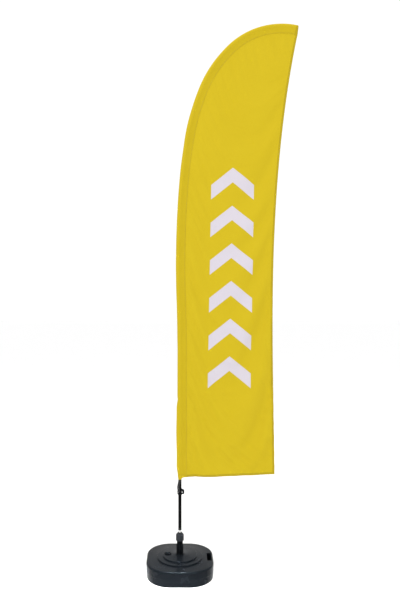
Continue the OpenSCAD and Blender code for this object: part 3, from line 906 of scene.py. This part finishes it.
def hem_strip(name, inner, outer, normal, uv_along, across):
    """A folded hem between two lines of points: flat, a little full, drawn in by its stitches."""
    rings, uv = [], []
    half = 0.58 * MM
    steps = ((0.0, 0.62), (0.12, 0.95), (0.32, 0.80), (0.62, 1.0), (0.88, 0.85), (0.97, 0.5))
    count = len(inner)
    for k in range(count):
        at = uv_along[k]
        full = 1 + 0.16 * math.sin(TAU * at / 0.0095) + 0.25 * noise.noise(Vector((at * 60, 0, 1)))
        wander = 1 + 0.035 * noise.noise(Vector((at * 45, 2, 0)))
        reach = (outer[k] - inner[k]) * wander
        ring, coords = [], []
        for f, h in steps:
            ring.append(inner[k] + reach * f + normal[k] * half * h * full)
            coords.append((f * across, at))
        ring.append(inner[k] + reach)
        coords.append((across, at))
        for f, h in reversed(steps):
            ring.append(inner[k] + reach * f - normal[k] * half * h * full)
            coords.append(((2 - f) * across, at))
        rings.append(ring)
        uv += coords
    # The hem's darker cloth is painted shade of the fold
    return lofted(name, rings, hem_cloth_painted_shade, uv)


def stitch_template():
    """One short run of thread, lying along x, its ends dipping into the cloth."""
    sides, length, r = 6, 2.9 * MM, 0.27 * MM
    profile = ((-0.5, 0.35, -0.9), (-0.36, 0.9, -0.1), (0.0, 1.0, 0.35), (0.36, 0.9, -0.1),
               (0.5, 0.35, -0.9))
    points = []
    for along, fat, lift in profile:
        for k in range(sides):
            a = TAU * k / sides
            points.append((along * length, r * fat * math.cos(a), r * (fat * math.sin(a) + lift)))
    return np.array(points), capped_faces(len(profile), sides)


def stitches(name, lines, material, pitch=4.1 * MM):
    """Rows of stitches along lines of (point, normal); each line becomes even steps of pitch."""
    shape, shape_faces = stitch_template()
    points, faces = [], []
    for places, normals in lines:
        places, normals = np.asarray(places), np.asarray(normals)
        run = run_along(places)
        for at in np.arange(pitch, run[-1] - pitch / 2, pitch):
            here = np.array([np.interp(at, run, places[:, i]) for i in range(3)])
            ahead = np.array([np.interp(at + 1 * MM, run, places[:, i]) for i in range(3)])
            up = np.array([np.interp(at, run, normals[:, i]) for i in range(3)])
            along = ahead - here
            along /= np.linalg.norm(along)
            up -= along * up.dot(along)
            up /= np.linalg.norm(up)
            side = np.cross(up, along)
            base = len(points)
            points += list(here + shape[:, :1] * along + shape[:, 1:2] * side
                           + shape[:, 2:3] * up)
            faces += [tuple(base + i for i in face) for face in shape_faces]
    return make_object(name, points, faces, material)


def make_flag():
    flat = flat_sheet()
    sheet = add_folds(settle(flat), flat)
    for axis in (0, 1):
        sheet, flat = refine(sheet, axis), refine(flat, axis)
    normals = normals_of(sheet)
    normals = normals * -np.sign(normals[..., 1:2].mean())
    last = sheet.shape[1] - 1
    # The panel runs into the middle of each hem, which covers its edge
    panel = solid_sheet("panel", sheet[2:, :last - 1], CLOTH_T, flat[2:, :last - 1], flag_cloth)
    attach(panel, "mast")
    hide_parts("flag_panel")

    inner = sheet[4:, last - 4]
    outer = sheet[4:, last]
    outer_normal = normals[4:, last - 2]
    run = run_along(outer)
    free_hem = hem_strip("free_hem", inner, outer, outer_normal, run, HEM)
    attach(free_hem, "mast")
    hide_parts("free_edge_hem")

    low_inner = sheet[4, 2:]
    low_outer = sheet[0, 2:]
    low_normal = normals[2, 2:]
    run_low = run_along(low_outer)
    low_hem = hem_strip("lower_hem", low_inner, low_outer, low_normal, run_low, HEM)
    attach(low_hem, "mast")
    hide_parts("bottom_hem")

    lift, share = 0.72 * MM, 0.16
    rows = []
    for face in (1, -1):
        line = inner + (outer - inner) * share + face * lift * outer_normal
        rows.append((line[:-6], face * outer_normal[:-6]))
        line = low_inner + (low_outer - low_inner) * share + face * lift * low_normal
        rows.append((line, face * low_normal))
    hem_stitches = stitches("hem_stitches", rows, yellow_thread)
    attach(hem_stitches, "mast")


# ---- Sleeve ----

SLEEVE_R = 13.8 * MM
SEAM_FLAT = 33 * MM


def sleeve_section():
    """The sleeve's cut across the pole as (off, y, share round the pole, path length)."""
    tangent = math.acos(SLEEVE_R / SEAM_FLAT)
    line = [(SEAM_OFF, 0.52 * MM), (36 * MM, 0.54 * MM), (SEAM_FLAT, 0.7 * MM)]
    touch = (SLEEVE_R * math.cos(tangent), SLEEVE_R * math.sin(tangent))
    for k in range(1, 7):
        t = k / 7
        sag = -0.9 * MM * math.sin(math.pi * t)
        line.append((SEAM_FLAT + (touch[0] - SEAM_FLAT) * t,
                     0.7 * MM + (touch[1] - 0.7 * MM) * t + sag))
    around = 22
    for k in range(around + 1):
        a = tangent + (TAU - 2 * tangent) * k / around
        line.append((SLEEVE_R * math.cos(a), SLEEVE_R * math.sin(a)))
    for off, y in reversed(line[:9]):
        line.append((off, -y))
    return np.array(line)


def sleeve_shape(s, off, y):
    """Where a point of the section goes at arc length s: bulges, gathers and the notch."""
    z = POLE_FOOT_Z + s
    loose = ramp(SEAM_FLAT - off, 0, 10 * MM)
    outward = ramp(-off, -6 * MM, 10 * MM)
    swell = 2.6 * MM * bell(z, 0.80, 0.085) - 1.7 * MM * bell(z, 0.973, 0.010)
    swell += 1.1 * MM * noise.noise(Vector((s * 9, 0.3, 5))) - 6.5 * MM * ramp(0.60 - z, 0, 0.06)
    swell += 4.4 * MM * ramp(0.972 - z, 0, 0.05)
    bent = ramp(s, 1.7, 2.6)
    gather = bent * math.sin(TAU * s / 0.027 + 62 * off) * (0.4 + 0.6 * noise.noise(
        Vector((s * 21, 1, 0))))
    slack = (1 - 0.6 * bent) * noise.noise(Vector((s * 15, off * 45, math.copysign(2, y))))
    creases = bell(z, 0.79, 0.14) * math.sin(TAU * (off + 0.12 * (z - 0.8)) / 0.015)
    side = math.copysign(1, y) * ramp(off, -12 * MM, 6 * MM)
    y += side * loose * (0.75 * gather + 1.3 * slack + 0.8 * creases) * MM
    off -= outward * swell
    return off, y


def make_sleeve():
    section = sleeve_section()
    path = run_along(section)
    step = 7 * MM
    count = int((SLEEVE_END - SLEEVE_START) / step)
    grid, uv = [], []
    for k in range(count + 1):
        s = SLEEVE_START + (SLEEVE_END - SLEEVE_START) * k / count
        x, z, heading = pole_frame(s)
        ring = []
        for off, y in section:
            off, y = sleeve_shape(s, off, y)
            ring.append((x + off * math.sin(heading), y, z - off * math.cos(heading)))
        grid.append(ring)
        uv.append([(p, s) for p in path])
    grid, uv = np.array(grid), np.array(uv)
    # The sleeve cloth is darkened as painted shade of the doubled cloth
    sleeve = solid_sheet("sleeve", grid, CLOTH_T, uv, sleeve_cloth_painted_shade)
    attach(sleeve, "mast")
    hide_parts("pole_sleeve")

    lines = []
    for face in (1, -1):
        for off in (36.8 * MM, 34.6 * MM):
            line = []
            for k in range(count + 1):
                s = SLEEVE_START + 3 * MM + (SLEEVE_END - SLEEVE_START - 6 * MM) * k / count
                x, z = off_pole(s, off)
                line.append((x, face * 0.92 * MM, z))
            lines.append((line, [(0, face, 0)] * (count + 1)))
    seam_stitches = stitches("seam_stitches", lines, yellow_thread)
    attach(seam_stitches, "mast")
    return sleeve, seam_stitches


def front_of_sleeve(x):
    """How far the sleeve's front stands from the pole's middle plane at x, near its foot."""
    if x <= -SLEEVE_R:
        return 0.0
    tangent = math.acos(SLEEVE_R / SEAM_FLAT)
    touch = SLEEVE_R * math.cos(tangent)
    if x < touch:
        return math.sqrt(SLEEVE_R ** 2 - x ** 2)
    rest = max(0.0, (SEAM_FLAT - x) / (SEAM_FLAT - touch))
    return 0.9 * MM + rest * SLEEVE_R * math.sin(tangent)


def tab_front(x, z):
    """How far the foot tab stands out: on the sleeve, and over the strap's end in its middle."""
    on_sleeve = front_of_sleeve(x) + 0.75 * MM
    over_strap = ramp(11.5 * MM - abs(x), 0, 4 * MM) * ramp(0.549 - z, 0, 0.006)
    return on_sleeve + (16.6 * MM - on_sleeve) * float(over_strap)


def make_foot_tab():
    """The doubled patch at the sleeve's foot that the strap is sewn under."""
    # Its two side edges, in mm, as heights and the x at each
    foot, top = 525, 553
    left = ((foot, 538, top), (-8.2, -10.8, -11.8))
    right = ((foot, 544, top), (5, 29, 29))

    rows, cols = 26, 30
    grid, uv = [], []
    for k in range(rows + 1):
        z = foot + (top - foot) * k / rows
        a, b = (float(np.interp(z, *side)) for side in (left, right))
        row, coords = [], []
        for j in range(cols + 1):
            x = (a + (b - a) * j / cols) * MM
            row.append((x, -tab_front(x, z * MM), z * MM))
            coords.append((x, z * MM))
        grid.append(row)
        uv.append(coords)
    # The tab shares the sleeve cloth, darkened as painted shade
    tab = solid_sheet("foot_tab", np.array(grid), 0.8 * MM, np.array(uv), sleeve_cloth_painted_shade)
    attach(tab, "mast")
    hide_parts("sleeve_foot_tab")

    def on_tab(x, z):
        return (x, -tab_front(x, z) - 0.6 * MM, z)

    lines = []
    for z in (530 * MM, 536 * MM, 549 * MM):
        span = np.linspace(-8 * MM, 5 * MM if z < 0.54 else 25 * MM, 24)
        lines.append(([on_tab(x, z) for x in span], [(x / SLEEVE_R * 0.6, -1, 0) for x in span]))
    tab_stitches = stitches("tab_stitches", lines, yellow_thread, 3.6 * MM)
    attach(tab_stitches, "mast")
    return tab, tab_stitches


def make_tip_patch():
    """What closes the sleeve past the pole's tip: a folded cap of doubled cloth."""
    section = sleeve_section()
    rings, uv = [], []
    # (mm past the pole's end, share of the sleeve's thickness) for each ring
    spans = ((-9, 1.05), (-7, 1.07), (-3, 1.06), (0, 1.03), (1.6, 0.80), (2.4, 0.45), (2.7, 0.12))
    first, last = spans[0][0], spans[-1][0]
    slant_rise, past_seam, fuller = 7.5 * MM, 5 * MM, 0.35 * MM
    for ds, share in spans:
        s = POLE_END + ds * MM
        ring = []
        for off, y in section:
            slant = (slant_rise * (ds - first) / (last - first)
                     * (off + SLEEVE_R) / (SEAM_OFF + SLEEVE_R))
            x, z, heading = pole_frame(s + slant)
            reach = off * (1.03 if off < 0 and ds < 1 else 1)
            reach += past_seam * float(ramp(off, 24 * MM, SEAM_OFF))
            ring.append((x + reach * math.sin(heading), (y + math.copysign(fuller, y)) * share,
                         z - reach * math.cos(heading)))
            uv.append((off, s))
        rings.append(ring)
    # The darker hem cloth here is painted shadow at the tip
    patch = lofted("tip_patch", rings, hem_cloth_painted_shade, uv, 60)
    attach(patch, "mast")
    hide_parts("sleeve_tip_patch")
    return patch


# ---- Strap ----

def strap_route():
    """The strap's middle line: down from the tab, round the hook's bar and back up on itself."""
    down = [(0, -15.0, 541), (-0.4, -15.0, 533), (-1, -15.1, 525), (-3, -15.3, 516),
            (-5, -15.5, 507), (-6.8, -15.6, 499), (-8, -15.6, 491), (-8.9, -15.5, 484),
            (-9, -15.1, 477), (-8.2, -14.2, 470.5), (-7, -13.0, 464.5)]
    bar_y, bar_z, reach = -15.2, 458.0, 3.05
    loop = []
    for k in range(9):
        a = math.radians(20 - 200 * k / 8)
        loop.append((-6.2, bar_y + reach * math.cos(a), bar_z + reach * math.sin(a)))
    back = [(-6.8, -17.9, 464), (-8.0, -17.2, 471), (-8.9, -17.15, 478), (-8.9, -17.25, 485),
            (-8.2, -17.3, 491)]
    return np.array(down + loop + back) * MM


def smooth_line(points, spacing):
    """Even points along a smooth curve through the given ones."""
    for _ in range(3):
        points = refine(points, 0)
    run = run_along(points)
    at = np.linspace(0, run[-1], int(run[-1] / spacing) + 1)
    return np.stack([np.interp(at, run, points[:, i]) for i in range(3)], axis=1), at


def make_strap():
    line, at = smooth_line(strap_route(), 1.2 * MM)
    half_w, half_t = 6.5 * MM, 0.75 * MM
    # The webbing's section, in half widths and half thicknesses
    edge = ((-1.0, -0.35), (-1.0, 0.35), (-0.93, 0.85), (-0.8, 1.0), (-0.4, 1.04), (0, 1.05),
            (0.4, 1.04), (0.8, 1.0), (0.93, 0.85), (1.0, 0.35), (1.0, -0.35), (0.93, -0.85),
            (0.8, -1.0), (0.4, -1.04), (0, -1.05), (-0.4, -1.04), (-0.8, -1.0), (-0.93, -0.85))
    tangent = np.gradient(line, axis=0)
    rings, uv = [], []
    for k, p in enumerate(line):
        along = tangent[k] / np.linalg.norm(tangent[k])
        across = np.array([1.0, 0, 0])
        flat_normal = np.cross(across, along)
        flat_normal /= np.linalg.norm(flat_normal)
        rings.append([p + across * half_w * a + flat_normal * half_t * b for a, b in edge])
        uv += [(a * half_w, at[k]) for a, _ in edge]
    strap = lofted("strap", rings, strap_nylon, uv, 70)
    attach(strap, "mast")
    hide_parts("tension_strap")

    def on_strap(x, z):
        return ((x - 8.7) * MM, -18.2 * MM, z * MM)

    # A sewn box with a cross in it, in mm from the strap's middle
    box = [(-4.6, 474), (4.6, 474), (4.6, 488), (-4.6, 488)]
    corners = box + [box[0]]
    lines = [([on_strap(*p) for p in pair], [(0, -1, 0)] * 2) for pair in
             list(zip(corners, corners[1:])) + [(box[0], box[2]), (box[1], box[3])]]
    strap_stitches = stitches("strap_stitches", lines, black_thread, 2.4 * MM)
    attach(strap_stitches, "mast")


# ---- Put it together ----

make_tank()
make_flag()
sleeve_tube, sleeve_seams = make_sleeve()
foot_tab, tab_seams = make_foot_tab()
tip_cap = make_tip_patch()
make_strap()

rounded_copy("filler_cap", "cap", tank_plastic, 0.5 * MM, "filler_cap")
rounded_copy("clamp_nut", "nut", nut_plastic, 0.45 * MM, "clamp_nut")
rounded_copy("tension_hook", "hook", hook_plastic, 0.45 * MM, "mast")

for names, material in (
        (["ballast_water"], tank_water),
        (["filler_seal", "pole_foot", "pole_end_cap"], black_rubber),
        (["stand_tube"], tube_plastic),
        (["clamp_collet"], collet_plastic),
        (["clamp_slip_ring"], slip_plastic),
        (["spindle_shank", "bearing_outer_race", "bearing_inner_race", "bearing_balls",
          "rotor_pin", "hook_screw"], steel),
        (["pole_section_1"], pole_black),
        (["pole_section_2", "pole_section_3", "pole_section_4"], pole_fibre),
        (["pole_collar_1", "pole_collar_2", "pole_collar_3"], aluminium)):
    for cad_node in names:
        finish_cad(cad_node, material)

floor = make_object("floor", [(-40, -40, 0), (40, -40, 0), (40, 40, 0), (-40, 40, 0)],
                    [(0, 1, 2, 3)], pale_floor("pale_floor"))

bpy.context.view_layer.update()
